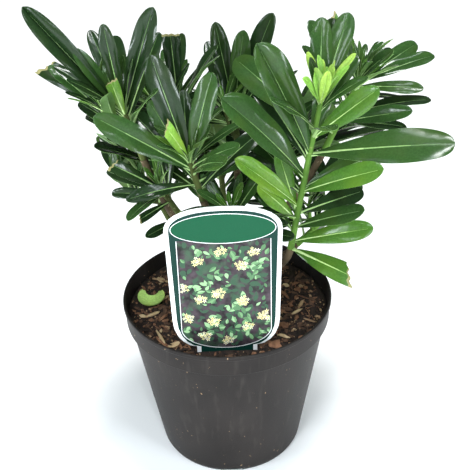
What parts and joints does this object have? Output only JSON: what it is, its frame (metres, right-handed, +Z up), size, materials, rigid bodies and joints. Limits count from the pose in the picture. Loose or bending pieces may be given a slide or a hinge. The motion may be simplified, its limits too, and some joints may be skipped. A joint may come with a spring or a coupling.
{
  "type": "potted shrub",
  "caption": "Evergreen shrub with whorls of long glossy leaves on a short branching stem, in a round tapered nursery pot of bark mix with an upright plant label.",
  "frame": {"origin": "centre of the pot's flat underside, on the ground", "axes": "+Z up, -Y the front, where the label's printed face looks, +X to the right of it"},
  "size_m": [0.2334, 0.1864, 0.3005],
  "materials": {
    "pot_plastic": "black moulded pot plastic, semi matt, lightly scuffed",
    "potting_mix": "moist composted bark with reddish and tan chips",
    "label_card": "printed white plastic card with a green panel, satin",
    "bark": "smooth grey brown young bark, green towards the tips",
    "leaves": "leathery dark green leaves with a glossy upper face and a pale midrib"
  },
  "bodies": {
    "root": {"pot": "pot_plastic", "potting_mix": "potting_mix", "label": "label_card", "trunk": "bark", "bough_left": "bark", "bough_front_left": "bark", "bough_right": "bark", "bough_right_top": "bark", "bough_back": "bark", "bough_back_left": "bark", "bough_low_left": "bark", "bough_rear_right": "bark", "bough_rear": "bark", "bough_rear_left": "bark", "bough_low_right": "bark", "bough_middle": "bark", "leaves_left": "leaves", "leaves_front_left": "leaves", "leaves_right": "leaves", "leaves_right_top": "leaves", "leaves_back": "leaves", "leaves_back_left": "leaves", "leaves_low_left": "leaves", "leaves_rear_right": "leaves", "leaves_rear": "leaves", "leaves_rear_left": "leaves", "leaves_low_right": "leaves", "leaves_middle": "leaves"}
  },
  "joints": []
}
